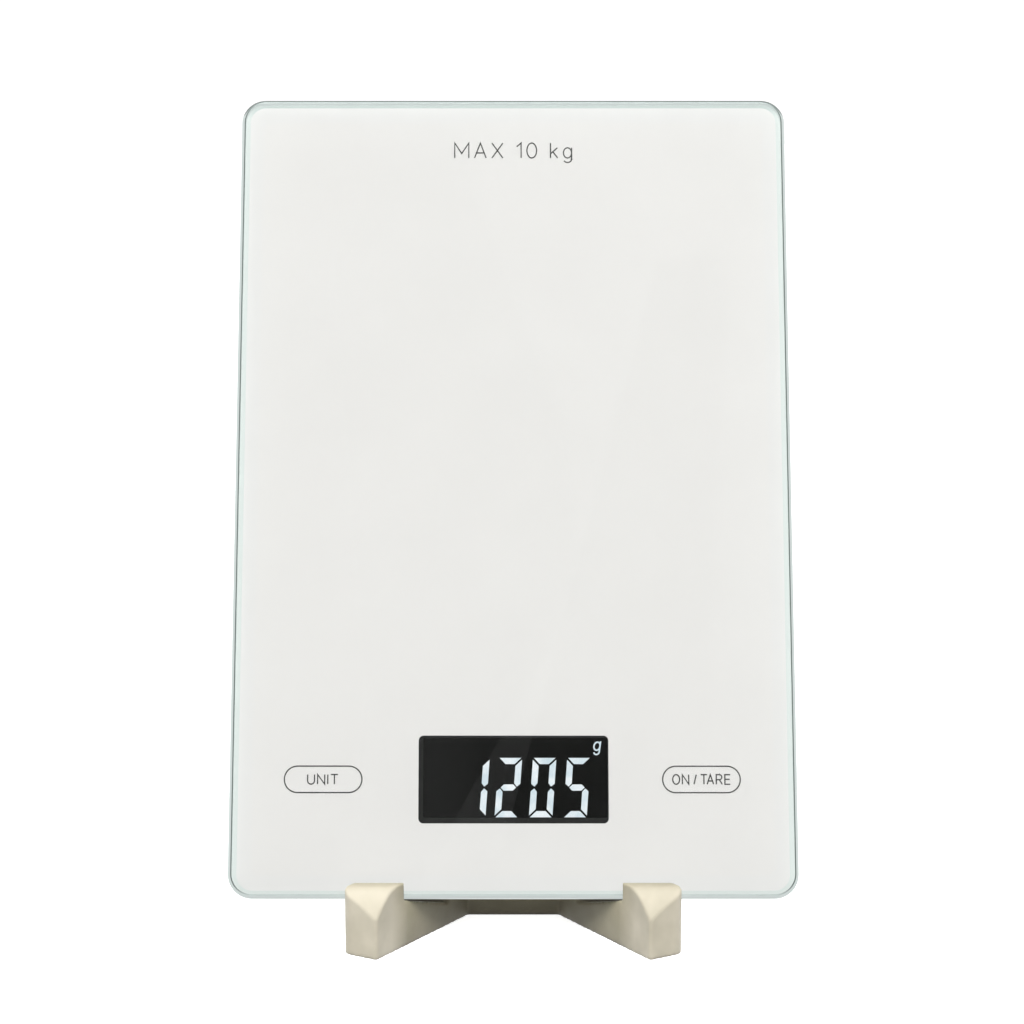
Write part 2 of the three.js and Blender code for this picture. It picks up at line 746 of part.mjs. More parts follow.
// ---- Assembly -------------------------------------------------------------------------------

// Takes the scale's frame to the stand's: leans it, and sets the glass's lower front edge on the seat.
function scalePlace() {
  const turn = new THREE.Matrix4().makeRotationX(Math.PI / 2 - LEAN);
  const edge = new THREE.Vector3(0, -GLASS.length / 2, SCALE_HEIGHT).applyMatrix4(turn);
  return turn.setPosition(0, STAND.seatDepth - edge.y, STAND.seatHeight - edge.z);
}

function scale() {
  const platform = new THREE.Group().add(
    glassPlate(),
    printedMask(),
    mountingTape(),
    upperHousing(),
    ...displayParts(),
    circuitBoard(),
    ...boardParts(),
    spacer("top_spacer", 1, CELL_TOP + LAYER_GAP, CEILING_BOTTOM - LAYER_GAP),
    ...platformScrews(),
  );
  const base = new THREE.Group().add(
    baseCover(),
    ...feet(),
    spacer("bottom_spacer", -1, FLOOR_TOP + LAYER_GAP, CELL.bottom - LAYER_GAP),
    loadCell(),
    gaugeSeal(),
    ...baseScrews(),
    ...batteryParts(),
    ...leads(),
  );
  const whole = new THREE.Group().add(platform, base, batteryDoor());
  whole.applyMatrix4(scalePlace());
  return whole;
}

function assemble() {
  const model = new THREE.Group().add(stand(), scale());
  model.updateMatrixWorld(true);
  const box = new THREE.Box3().setFromObject(model, true);
  const middle = box.getCenter(new THREE.Vector3());
  model.position.set(-middle.x, -middle.y, -box.min.z);
  return model;
}

export default assemble();
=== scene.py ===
import json
import math

import bmesh
import bpy
from mathutils import Matrix, Vector

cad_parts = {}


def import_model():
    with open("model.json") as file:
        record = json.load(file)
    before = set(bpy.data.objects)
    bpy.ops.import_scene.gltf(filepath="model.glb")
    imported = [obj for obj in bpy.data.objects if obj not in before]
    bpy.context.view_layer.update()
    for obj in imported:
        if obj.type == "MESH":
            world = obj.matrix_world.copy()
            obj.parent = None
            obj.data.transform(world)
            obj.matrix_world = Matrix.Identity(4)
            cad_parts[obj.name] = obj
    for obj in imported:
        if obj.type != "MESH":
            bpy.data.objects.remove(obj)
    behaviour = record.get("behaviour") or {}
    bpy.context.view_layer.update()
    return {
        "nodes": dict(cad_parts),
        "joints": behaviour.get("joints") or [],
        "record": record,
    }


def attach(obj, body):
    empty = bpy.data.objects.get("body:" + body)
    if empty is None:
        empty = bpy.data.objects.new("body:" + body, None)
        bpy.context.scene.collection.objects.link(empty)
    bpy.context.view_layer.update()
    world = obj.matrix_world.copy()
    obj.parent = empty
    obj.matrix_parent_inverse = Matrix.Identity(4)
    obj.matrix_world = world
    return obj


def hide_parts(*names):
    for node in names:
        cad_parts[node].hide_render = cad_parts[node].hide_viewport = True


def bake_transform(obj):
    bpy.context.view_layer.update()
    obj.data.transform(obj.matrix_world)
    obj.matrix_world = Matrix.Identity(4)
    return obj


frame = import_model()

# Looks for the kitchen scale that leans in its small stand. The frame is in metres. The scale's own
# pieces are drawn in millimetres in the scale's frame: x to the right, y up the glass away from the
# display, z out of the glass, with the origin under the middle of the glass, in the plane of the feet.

MM = 0.001


# ---- The scale's own frame ------------------------------------------------------------------

def joint_axis(name):
    return Vector(next(j["axis"] for j in frame["joints"] if j["name"] == name)).normalized()


UP_GLASS = joint_axis("scale_lift_off")
OUT_OF_GLASS = joint_axis("platform_press")
TURN = Matrix((UP_GLASS.cross(OUT_OF_GLASS), UP_GLASS, OUT_OF_GLASS)).transposed()


def turned_corners(node):
    """Lowest and highest corner of a CAD node along the scale's three directions, in metres."""
    points = [TURN.transposed() @ v.co for v in frame["nodes"][node].data.vertices]
    low = Vector(map(min, *points))
    high = Vector(map(max, *points))
    return low, high


GLASS_LOW, GLASS_HIGH = turned_corners("glass_plate")
FEET_LEVEL = turned_corners("foot_1")[0].z
OWN_ORIGIN = Vector(((GLASS_LOW.x + GLASS_HIGH.x) / 2, (GLASS_LOW.y + GLASS_HIGH.y) / 2, FEET_LEVEL))
SCALE_FRAME = TURN.to_4x4() @ Matrix.Translation(OWN_ORIGIN) @ Matrix.Scale(MM, 4)


def own_box(node):
    """Lowest and highest corner of a CAD node in the scale's frame, in millimetres."""
    low, high = turned_corners(node)
    return (low - OWN_ORIGIN) / MM, (high - OWN_ORIGIN) / MM


# ---- Sizes, in millimetres ------------------------------------------------------------------

GLASS = own_box("glass_plate")
GLASS_SIZE = GLASS[1] - GLASS[0]
GLASS_CORNER = 7
GLASS_EDGE = 1.3  # how far in the rounding of the polished edge reaches
CHANGE_BEGINS = 6.4  # from the glass's ends, where the look of its edge begins to change
CHANGE_ENDS = 3.2  # and where it has changed
GLASS_BOTTOM = GLASS[0].z
GLASS_TOP = GLASS[1].z

PRINT = own_box("printed_mask")
PRINT_SIZE = PRINT[1] - PRINT[0]
PRINT_CORNER = GLASS_CORNER - (GLASS_SIZE.x - PRINT_SIZE.x) / 2
PRINT_BORDER = 4  # the paler band with no housing behind it; its ink is a touch darker, painted shade against the light from the edge's painted glow
PRINT_LONGER = 0.6  # how much longer the ink looks through the glass's rounded ends
PRINT_RISE = 0.2  # of the ink's middle above the glass's middle
INK_LEVEL = (PRINT[1].z + GLASS_BOTTOM) / 2
INK_THICKNESS = 0.012

WINDOW = {"x": 0.1, "width": 53.5, "length": 24.7, "corner": 1.4, "y": -83.3}
LCD = own_box("lcd_panel")

KEY = {"width": 22.2, "length": 7.8, "line": 0.36}
UNIT_KEY_X = -53.5
TARE_KEY_X = 53
LETTER_LINE = 0.36
LETTER_HEIGHT = 2.7
CAPACITY_HEIGHT = 4.6
CAPACITY_BASE = 99.4

DIGIT = {"width": 6.6, "height": 16.7, "bar": 1.75, "gap": 0.26}
DIGIT_PITCH = 9.65
DIGIT_SLANT = math.radians(4.1)
READOUT = "1205"
READOUT_RIGHT = 20.65
ONE_SHIFT = 0.5  # how much closer a one stands to the digit on its right
READOUT_BOTTOM = -93.9
READOUT_LEVEL = LCD[1].z + 0.035
SEGMENT_THICKNESS = 0.02
UNIT_MARK = {"x": 23.65, "y": -73.9, "line": 0.42, "slant": math.radians(8)}


# ---- Materials ------------------------------------------------------------------------------

class Look:
    """A material and its node tree, with short ways to add to it."""

    def __init__(self, name, color, roughness, metallic=0.0, **sockets):
        self.material = bpy.data.materials.new(name)
        self.material.use_nodes = True
        self.nodes = self.material.node_tree.nodes
        self.links = self.material.node_tree.links
        self.shader = self.nodes["Principled BSDF"]
        self.output = self.nodes["Material Output"]
        self.set(base_color=(*color, 1), roughness=roughness, metallic=metallic, **sockets)

    def set(self, **sockets):
        for name, value in sockets.items():
            socket = next(s for s in self.shader.inputs if s.name.lower().replace(" ", "_") == name)
            socket.default_value = value

    def add(self, kind, **values):
        node = self.nodes.new(kind)
        for name, value in values.items():
            if name in node.inputs:
                node.inputs[name].default_value = value
            else:
                setattr(node, name, value)
        return node

    def link(self, out, into):
        self.links.new(out, into)

    def object_place(self):
        return self.add("ShaderNodeTexCoord").outputs["Object"]

    def place_along(self, axis):
        """The object's own coordinate along X, Y or Z, in metres."""
        parts = self.add("ShaderNodeSeparateXYZ")
        self.link(self.object_place(), parts.inputs[0])
        return parts.outputs[axis]

    def scaled(self, value, start, end, low=0.0, high=1.0):
        """Goes from low to high as the value goes from start to end."""
        ends = {"From Min": start, "From Max": end, "To Min": low, "To Max": high}
        node = self.add("ShaderNodeMapRange", **ends)
        self.link(value, node.inputs["Value"])
        return node.outputs["Result"]

    def noise(self, scale, detail=3.0):
        node = self.add("ShaderNodeTexNoise", Scale=scale, Detail=detail)
        self.link(self.object_place(), node.inputs["Vector"])
        return node.outputs["Fac"]

    def ramp(self, factor, *stops):
        """A colour ramp over factor, with stops of (position, colour)."""
        node = self.add("ShaderNodeValToRGB")
        elements = node.color_ramp.elements
        while len(elements) < len(stops):
            elements.new(0.5)
        for element, (position, color) in zip(elements, stops):
            element.position = position
            element.color = (*color, 1)
        self.link(factor, node.inputs["Fac"])
        return node.outputs["Color"]

    def mottle(self, scale, dark, light):
        """Soft variation of the base colour between two tones."""
        color = self.ramp(self.noise(scale), (0.35, dark), (0.65, light))
        self.link(color, self.shader.inputs["Base Color"])

    def uneven_gloss(self, scale, low, high):
        self.link(self.scaled(self.noise(scale), 0, 1, low, high), self.shader.inputs["Roughness"])

    def grain(self, scale, height, strength=1.0, detail=2.0):
        """A fine bump, height in millimetres."""
        bump = self.add("ShaderNodeBump", Strength=strength, Distance=height * MM)
        self.link(self.noise(scale, detail), bump.inputs["Height"])
        self.link(bump.outputs["Normal"], self.shader.inputs["Normal"])


CLEAR = (0.97, 0.975, 0.97)  # what a lamp's light keeps in passing the glass


def let_lamps_through(look, tint=None):
    """Lets straight shadow rays through the glass, so that what is behind it stays lit."""
    shadow = look.add("ShaderNodeBsdfTransparent", Color=(*CLEAR, 1))
    if tint:
        look.link(tint, shadow.inputs["Color"])
    path = look.add("ShaderNodeLightPath")
    mix = look.add("ShaderNodeMixShader")
    look.link(path.outputs["Is Shadow Ray"], mix.inputs[0])
    look.link(look.shader.outputs["BSDF"], mix.inputs[1])
    look.link(shadow.outputs["BSDF"], mix.inputs[2])
    look.link(mix.outputs["Shader"], look.output.inputs["Surface"])


def clear_glass():
    look = Look("clear_glass", (1.0, 1.0, 1.0), 0.0, ior=1.51, transmission_weight=1.0)
    look.uneven_gloss(60, 0.0, 0.012)
    let_lamps_through(look)
    return look.material


def rising(look, start, end):
    """A factor that goes from 0 to 1 between two places up the glass, in millimetres."""
    start_height, end_height = ((SCALE_FRAME @ Vector((0, y, GLASS_TOP))).z for y in (start, end))
    return look.scaled(look.place_along("Z"), start_height, end_height)


def near_top(look):
    return rising(look, GLASS[1].y - CHANGE_BEGINS, GLASS[1].y - CHANGE_ENDS)


def near_bottom(look):
    return rising(look, GLASS[0].y + CHANGE_BEGINS, GLASS[0].y + CHANGE_ENDS)


def glass_margin():
    """The strip outside the print: a pale painted sheet behind the glass, painted light that stands in for
    the light the polished edge sends into it, with painted shade darker towards the top.
    """
    look = Look("glass_margin", (0.70, 0.74, 0.725), 0.5)
    # painted shade: the margin's sheet darkens towards the top of the glass
    color = look.ramp(near_top(look), (0.0, (0.69, 0.74, 0.72)), (1.0, (0.54, 0.60, 0.585)))
    look.link(color, look.shader.inputs["Base Color"])
    return look.material


def glass_edge():
    """The rounded edge, dark glass with a pale green painted glow that stands in for the light carried
    through the glass.

    The painted glow fades where the edge faces up the glass, which leaves a painted dark line there, and
    the edge keeps most of the lamp's light off the seat below it.
    """
    look = Look("glass_edge", (0.11, 0.13, 0.125), 0.2, specular_ior_level=0.1)
    look.set(emission_color=(0.73, 0.79, 0.775, 1))
    look.mottle(120, (0.10, 0.12, 0.115), (0.12, 0.14, 0.135))
    # painted glow: the emission, weaker where the edge's normal faces up the glass, stands in for light
    # carried through it
    upward = look.add("ShaderNodeVectorMath", operation="DOT_PRODUCT")
    upward.inputs[1].default_value = UP_GLASS
    look.link(look.add("ShaderNodeTexCoord").outputs["Normal"], upward.inputs[0])
    glow = look.scaled(upward.outputs["Value"], 0.22, 0.32, 0.7, 0.1)
    look.link(glow, look.shader.inputs["Emission Strength"])
    tint = look.ramp(near_bottom(look), (0.0, CLEAR), (1.0, (0.1, 0.12, 0.11)))
    let_lamps_through(look, tint)
    return look.material


def glass_edge_line():
    """The start of the rounding, with painted light and shade: a painted dark line along the two long
    sides, painted pale along the short ones, and a painted glow near the top.
    """
    look = Look("glass_edge_line", (0.15, 0.18, 0.17), 0.1, emission_strength=1.0)
    # painted glow towards the top of the glass
    glow = look.ramp(near_top(look), (0.0, (0.0, 0.0, 0.0)), (1.0, (0.10, 0.12, 0.115)))
    look.link(glow, look.shader.inputs["Emission Color"])
    outward = look.add("ShaderNodeMath", operation="ABSOLUTE")
    look.link(look.place_along("X"), outward.inputs[0])
    half_width = GLASS_SIZE.x / 2
    side = look.scaled(outward.outputs[0], (half_width - 6.5) * MM, (half_width - 2) * MM)
    # painted shade along the long sides, painted pale light along the short ones
    color = look.ramp(side, (0.0, (0.56, 0.63, 0.61)), (1.0, (0.15, 0.18, 0.17)))
    look.link(color, look.shader.inputs["Base Color"])
    let_lamps_through(look)
    return look.material


def white_print():
    look = Look("white_print", (0.80, 0.79, 0.775), 0.45)
    look.mottle(35, (0.795, 0.785, 0.77), (0.805, 0.795, 0.78))
    look.grain(4000, 0.004)
    return look.material


def white_print_border():
    # painted shade: a touch darker than the white print, to temper the light from the edge's painted glow
    look = Look("white_print_border", (0.79, 0.785, 0.775), 0.45)
    look.mottle(35, (0.785, 0.78, 0.77), (0.795, 0.79, 0.78))
    look.grain(4000, 0.004)
    return look.material


def grey_ink():
    look = Look("grey_ink", (0.07, 0.07, 0.066), 0.5)
    look.mottle(900, (0.06, 0.06, 0.057), (0.08, 0.08, 0.076))
    return look.material


def white_plastic():
    look = Look("white_plastic", (0.80, 0.80, 0.785), 0.42)
    look.mottle(25, (0.79, 0.79, 0.775), (0.815, 0.815, 0.80))
    look.uneven_gloss(300, 0.36, 0.5)
    look.grain(2600, 0.03, 0.5)
    return look.material


def stand_plastic():
    """Cloudy clay-coloured plastic, with painted shade, darker and warmer, in the nooks under and behind
    the glass.
    """
    look = Look("stand_plastic", (0.64, 0.59, 0.465), 0.5)
    cloudy = look.noise(70)
    color = look.ramp(cloudy, (0.35, (0.56, 0.515, 0.40)), (0.65, (0.71, 0.655, 0.525)))
    # painted shade: a warmer, darker copy of the colour, darkened further by ambient occlusion in the nooks
    warm_painted_shade = look.ramp(cloudy, (0.35, (0.54, 0.485, 0.33)), (0.65, (0.68, 0.615, 0.43)))
    shaded = look.add("ShaderNodeAmbientOcclusion", Distance=0.022)
    look.link(warm_painted_shade, shaded.inputs["Color"])
    # the painted shade is used only behind the glass's front
    front = (SCALE_FRAME @ Vector((0, GLASS[0].y, GLASS_TOP))).y
    shade_behind_glass = look.scaled(look.place_along("Y"), front - 6 * MM, front + 1 * MM)
    mix = look.add("ShaderNodeMix", data_type="RGBA")
    look.link(shade_behind_glass, mix.inputs["Factor"])
    look.link(color, mix.inputs["A"])
    look.link(shaded.outputs["Color"], mix.inputs["B"])
    look.link(mix.outputs["Result"], look.shader.inputs["Base Color"])
    look.uneven_gloss(160, 0.4, 0.56)
    look.grain(900, 0.05, 0.35, 4.0)
    return look.material


def foot_rubber():
    look = Look("foot_rubber", (0.26, 0.265, 0.27), 0.8)
    look.mottle(200, (0.24, 0.245, 0.25), (0.29, 0.295, 0.30))
    look.grain(3000, 0.03, 0.6)
    return look.material


def display_black():
    look = Look("display_black", (0.003, 0.0033, 0.003), 0.04)
    look.mottle(60, (0.0025, 0.003, 0.0025), (0.004, 0.0045, 0.004))
    look.uneven_gloss(90, 0.03, 0.05)
    return look.material


def display_frame():
    look = Look("display_frame", (0.018, 0.019, 0.018), 0.3)
    look.mottle(400, (0.016, 0.017, 0.016), (0.022, 0.023, 0.022))
    return look.material


def lit_segment():
    look = Look("lit_segment", (0.05, 0.055, 0.06), 0.4, emission_strength=0.95)
    color = look.ramp(look.noise(260), (0.3, (0.62, 0.76, 0.82)), (0.7, (0.92, 0.98, 1.0)))
    look.link(color, look.shader.inputs["Emission Color"])
    return look.material


def light_guide():
    look = Look("light_guide", (0.85, 0.88, 0.89), 0.25)
    look.mottle(500, (0.82, 0.85, 0.86), (0.88, 0.91, 0.92))
    return look.material


def foam_tape():
    look = Look("foam_tape", (0.84, 0.84, 0.82), 0.85)
    look.mottle(900, (0.80, 0.80, 0.78), (0.86, 0.86, 0.84))
    look.grain(2500, 0.05)
    return look.material


def circuit_board():
    look = Look("circuit_board", (0.02, 0.12, 0.06), 0.35)
    bricks = look.add("ShaderNodeTexBrick", Scale=220.0)
    bricks.inputs["Color1"].default_value = (0.015, 0.10, 0.05, 1)
    bricks.inputs["Color2"].default_value = (0.03, 0.15, 0.08, 1)
    bricks.inputs["Mortar"].default_value = (0.05, 0.21, 0.11, 1)
    look.link(look.object_place(), bricks.inputs["Vector"])
    look.link(bricks.outputs["Color"], look.shader.inputs["Base Color"])
    return look.material


def black_resin():
    look = Look("black_resin", (0.012, 0.012, 0.013), 0.5)
    look.mottle(1500, (0.010, 0.010, 0.011), (0.018, 0.018, 0.019))
    look.grain(4000, 0.02)
    return look.material


def metal(name, dark, light, roughness, streaks):
    look = Look(name, light, roughness, metallic=1.0)
    look.mottle(streaks, dark, light)
    look.uneven_gloss(streaks * 2, roughness * 0.8, roughness * 1.25)
    return look.material


def steel():
    return metal("steel", (0.50, 0.51, 0.52), (0.62, 0.63, 0.64), 0.3, 400)


def aluminium():
    return metal("aluminium", (0.60, 0.61, 0.62), (0.72, 0.73, 0.74), 0.35, 250)


def spring_metal():
    return metal("spring_metal", (0.52, 0.46, 0.34), (0.66, 0.60, 0.46), 0.28, 500)


def silicone():
    look = Look("silicone", (0.82, 0.81, 0.77), 0.55)
    look.mottle(300, (0.79, 0.78, 0.74), (0.85, 0.84, 0.80))
    look.grain(1500, 0.03)
    return look.material


def battery_sleeve():
    look = Look("battery_sleeve", (0.045, 0.05, 0.055), 0.28)
    look.mottle(300, (0.04, 0.045, 0.05), (0.055, 0.06, 0.065))
    look.uneven_gloss(200, 0.22, 0.34)
    return look.material


def wire_sleeve():
    look = Look("wire_sleeve", (0.40, 0.03, 0.03), 0.45)
    look.mottle(300, (0.36, 0.025, 0.025), (0.44, 0.035, 0.035))
    return look.material


def floor_paint():
    look = Look("floor_paint", (0.88, 0.88, 0.875), 0.9, emission_strength=0.85)
    look.set(emission_color=(1, 1, 1, 1))
    look.mottle(3, (0.878, 0.878, 0.873), (0.882, 0.882, 0.877))
    return look.material


# ---- Mesh helpers ---------------------------------------------------------------------------

def rounded_outline(width, length, radius, x=0, y=0, steps=10):
    """The corners of a rounded rectangle as a closed outline, anticlockwise."""
    outline = []
    for quarter, (sx, sy) in enumerate([(1, 1), (-1, 1), (-1, -1), (1, -1)]):
        cx = x + sx * (width / 2 - radius)
        cy = y + sy * (length / 2 - radius)
        for i in range(steps + 1):
            angle = math.pi / 2 * (quarter + i / steps)
            outline.append((cx + radius * math.cos(angle), cy + radius * math.sin(angle)))
    return outline


def add_loop(bm, outline, z):
    return [bm.verts.new((x, y, z)) for x, y in outline]


def bridge(bm, lower, upper):
    count = len(lower)
    return [
        bm.faces.new((lower[i], lower[(i + 1) % count], upper[(i + 1) % count], upper[i]))
        for i in range(count)
    ]


def add_stack(bm, levels):
    """A closed body through outlines of the same number of points.

    The levels are (outline, z), bottom to top. Returns the faces of each band between two outlines.
    """
    loops = [add_loop(bm, outline, z) for outline, z in levels]
    bm.faces.new(list(reversed(loops[0])))
    bm.faces.new(loops[-1])
    return [bridge(bm, lower, upper) for lower, upper in zip(loops, loops[1:])]


def add_prism(bm, outline, z0, z1):
    add_stack(bm, [(outline, z0), (outline, z1)])


def add_ring(bm, outer, inner, z0, z1):
    """A flat closed ring between two outlines of the same number of points."""
    corners = ((outer, z0), (outer, z1), (inner, z1), (inner, z0))
    loops = [add_loop(bm, outline, z) for outline, z in corners]
    faces = []
    for a, b in zip(loops, loops[1:] + loops[:1]):
        faces += bridge(bm, a, b)
    return faces


def add_ribbon(bm, points, width, z0, z1, closed=False):
    """A flat line of that width along the points, with mitred corners."""
    least = 0.35  # which keeps the mitre of a sharp corner short
    points = [Vector(p) for p in points]
    count = len(points)
    left = []
    right = []
    for i, point in enumerate(points):
        before = points[i - 1] if i or closed else None
        after = points[(i + 1) % count] if i < count - 1 or closed else None
        first = (point - before).normalized() if before else (after - point).normalized()
        second = (after - point).normalized() if after else first
        across = Vector((-first.y - second.y, first.x + second.x)).normalized()
        reach = width / 2 / max(least, across.dot(Vector((-first.y, first.x))))
        left.append(point + across * reach)
        right.append(point - across * reach)
    if closed:
        add_ring(bm, left, right, z0, z1)
        return
    add_prism(bm, right + list(reversed(left)), z0, z1)


SHARP_ANGLE = math.radians(30)


def shade(mesh):
    """Smooth across soft edges, with large many-sided faces kept flat so that they mirror straight."""
    mesh.polygons.foreach_set("use_smooth", [len(face.vertices) < 5 for face in mesh.polygons])
    mesh.set_sharp_from_angle(angle=SHARP_ANGLE)


def new_object(name, data):
    obj = bpy.data.objects.new(name, data)
    bpy.context.scene.collection.objects.link(obj)
    return obj


def piece(name, bm, body, slot, *materials):
    """Turns a mesh in the scale's frame into a named piece that rides on a body."""
    bm.transform(SCALE_FRAME)
    bmesh.ops.recalc_face_normals(bm, faces=bm.faces)
    mesh = bpy.data.meshes.new(name)
    bm.to_mesh(mesh)
    bm.free()
    shade(mesh)
    obj = new_object(name, mesh)
    for material in materials:
        mesh.materials.append(material)
    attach(obj, body)
    return obj


# ---- The glass and its print ----------------------------------------------------------------

def inset_outline(size, corner, inset):
    return rounded_outline(size.x - 2 * inset, size.y - 2 * inset, corner - inset)


def glass_plate(clear):
    """The plate, with its edge ground to a full round and polished."""
    bm = bmesh.new()
    steps = 12
    levels = []
    for i in range(steps + 1):
        angle = math.pi * (i / steps - 0.5)
        outline = inset_outline(GLASS_SIZE, GLASS_CORNER, GLASS_EDGE * (1 - math.cos(angle)))
        levels.append((outline, (GLASS_BOTTOM + GLASS_TOP) / 2 + GLASS_SIZE.z / 2 * math.sin(angle)))
    *edge, line = add_stack(bm, levels)
    for face in sum(edge, []):
        face.material_index = 1
    for face in line:
        face.material_index = 2
    plate = piece("glass", bm, "platform", "clear_glass", clear, glass_edge(), glass_edge_line())
    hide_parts("glass_plate")


def window_outline():
    return rounded_outline(WINDOW["width"], WINDOW["length"], WINDOW["corner"], WINDOW["x"], WINDOW["y"])


def back_print(inner_look, shaded_border_look):
    """The white ink behind the glass: a milky margin of painted light, a paler band inside it inked in a
    slightly darker copy of the white as painted shade, and a clear window.
    """
    bm = bmesh.new()
    z0, z1 = PRINT[0].z, PRINT[1].z
    outer = rounded_outline(PRINT_SIZE.x, PRINT_SIZE.y + PRINT_LONGER, PRINT_CORNER, 0, PRINT_RISE)
    middle = inset_outline(PRINT_SIZE, PRINT_CORNER + 2, PRINT_BORDER)
    margin = inset_outline(GLASS_SIZE, GLASS_CORNER, GLASS_EDGE)
    for face in add_ring(bm, outer, middle, z0, z1):
        face.material_index = 1
    for face in add_ring(bm, margin, outer, z0, z1):
        face.material_index = 2
    add_ring(bm, middle, window_outline(), z0, z1)
    sheet = piece("back_print", bm, "platform", "white_print", inner_look, shaded_border_look, glass_margin())
    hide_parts("printed_mask")


# ---- Lettering ------------------------------------------------------------------------------

def arc(cx, cy, rx, ry, start, end, steps=14):
    """Points along part of an ellipse, angles in degrees."""
    angles = [math.radians(start + (end - start) * i / steps) for i in range(steps + 1)]
    return [(cx + rx * math.cos(a), cy + ry * math.sin(a)) for a in angles]


def letter_strokes(letter):
    """(advance width, strokes) of a thin plain letter whose capital height is 1."""
    strokes = {
        "U": (0.72, [[(0, 1), *arc(0.36, 0.36, 0.36, 0.36, 180, 360), (0.72, 1)]]),
        "N": (0.74, [[(0, 0), (0, 1), (0.74, 0), (0.74, 1)]]),
        "I": (0.0, [[(0, 0), (0, 1)]]),
        "T": (0.74, [[(0, 1), (0.74, 1)], [(0.37, 1), (0.37, 0)]]),
        "O": (0.8, [arc(0.4, 0.5, 0.4, 0.5, 0, 360, 32)]),
        "/": (0.76, [[(0.29, 0), (0.56, 1)]]),
        "A": (0.74, [[(0, 0), (0.37, 1), (0.74, 0)], [(0.13, 0.34), (0.61, 0.34)]]),
        "R": (0.68, [[(0, 0), (0, 1), (0.38, 1), *arc(0.38, 0.74, 0.26, 0.26, 90, -90), (0, 0.48)],
                     [(0.36, 0.48), (0.68, 0)]]),
        "E": (0.62, [[(0.62, 1), (0, 1), (0, 0), (0.62, 0)], [(0, 0.52), (0.56, 0.52)]]),
        "M": (0.9, [[(0, 0), (0, 1), (0.45, 0.3), (0.9, 1), (0.9, 0)]]),
        "X": (0.7, [[(0, 0), (0.7, 1)], [(0, 1), (0.7, 0)]]),
        "1": (0.28, [[(0, 0.76), (0.28, 1), (0.28, 0)]]),
        "0": (0.62, [arc(0.31, 0.5, 0.31, 0.5, 0, 360, 32)]),
        "k": (0.46, [[(0, 0), (0, 1)], [(0.44, 0.68), (0, 0.28)], [(0.15, 0.42), (0.46, 0)]]),
        "g": (0.52, [arc(0.26, 0.34, 0.26, 0.34, 0, 360, 24),
                     [(0.52, 0.68), (0.52, -0.06), *arc(0.26, -0.06, 0.26, 0.24, 0, -150)]]),
        " ": (0.15, []),
    }
    return strokes[letter]


def laid_out(text, stretch, spacing):
    """Each letter's left side with its strokes, and the width of the whole line."""
    tucks = {"TA": 0.285}  # how far the second letter of a pair tucks under the first
    places = []
    x = 0
    for before, letter in zip(" " + text, text):
        advance, strokes = letter_strokes(letter)
        x -= tucks.get(before + letter, 0)
        places.append((x, strokes))
        x += stretch * advance + spacing
    return places, x - spacing


def is_ring(stroke):
    return (Vector(stroke[0]) - Vector(stroke[-1])).length < 1e-6


def lettering(name, text, look, height, x, y, spacing, stretch=1.0):
    """A line of thin lettering, centred on x, standing on y, printed behind the glass."""
    bm = bmesh.new()
    places, width = laid_out(text, stretch, spacing)
    level = INK_LEVEL
    for left, strokes in places:
        start = x + height * (left - width / 2)
        for stroke in strokes:
            points = [(start + height * stretch * px, y + height * py) for px, py in stroke]
            ring = is_ring(stroke)
            points = points[:-1] if ring else points
            add_ribbon(bm, points, LETTER_LINE, level, level + INK_THICKNESS, ring)
            level += 0.0004  # so that crossing strokes aren't in one plane
    piece(name, bm, "platform", "white_print", look)


def key_outline(name, x, look):
    """The printed outline of a touch key: a pill with full round ends."""
    bm = bmesh.new()
    line = KEY["line"]
    y = WINDOW["y"]
    outer = rounded_outline(KEY["width"], KEY["length"], KEY["length"] / 2, x, y, 16)
    inside = KEY["length"] / 2 - line
    inner = rounded_outline(KEY["width"] - 2 * line, KEY["length"] - 2 * line, inside, x, y, 16)
    add_ring(bm, outer, inner, INK_LEVEL, INK_LEVEL + INK_THICKNESS)
    piece(name, bm, "platform", "white_print", look)


def printed_marks(look):
    base = WINDOW["y"] - LETTER_HEIGHT / 2
    key_outline("unit_key_outline", UNIT_KEY_X, look)
    key_outline("tare_key_outline", TARE_KEY_X, look)
    lettering("unit_key_word", "UNIT", look, LETTER_HEIGHT, UNIT_KEY_X - 0.1, base, spacing=0.32)
    lettering("tare_key_word", "ON/TARE", look, LETTER_HEIGHT, TARE_KEY_X, base, spacing=0.285, stretch=0.9)
    lettering("capacity_mark", "MAX 10 kg", look, CAPACITY_HEIGHT, 0, CAPACITY_BASE, spacing=0.37)


# ---- The display ----------------------------------------------------------------------------

def display_panel(look):
    """The dark panel behind the window, with its front edge eased."""
    bm = bmesh.new()
    low, high = LCD
    centre = (low + high) / 2
    size = high - low
    ease = 0.3
    full = rounded_outline(size.x, size.y, 0.8, centre.x, centre.y, 4)
    eased = rounded_outline(size.x - ease, size.y - ease, 0.7, centre.x, centre.y, 4)
    add_stack(bm, [(full, low.z), (full, high.z - ease), (eased, high.z)])
    panel = piece("display_panel", bm, "platform", "display_glass", look)
    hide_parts("lcd_panel")


def display_inner_frame(look):
    """The frame on the panel, a little paler, which shows most at the window's left and lower edges."""
    bm = bmesh.new()
    x, y = WINDOW["x"], WINDOW["y"]
    width, length = WINDOW["width"], WINDOW["length"]
    outside = 0.5  # how far the frame reaches past the window
    side = 0.8  # how far it stands inside the window's sides
    end = 1.1  # and inside its ends
    shift = 0.5  # of its opening, to the right and up
    outer = rounded_outline(width + 2 * outside, length + 2 * outside, 1.3, x, y, 6)
    inner = rounded_outline(width - 2 * side, length - 2 * end, 0.6, x + shift, y + shift, 6)
    add_ring(bm, outer, inner, LCD[1].z + 0.005, LCD[1].z + 0.03)
    piece("display_inner_frame", bm, "platform", "display_glass", look)


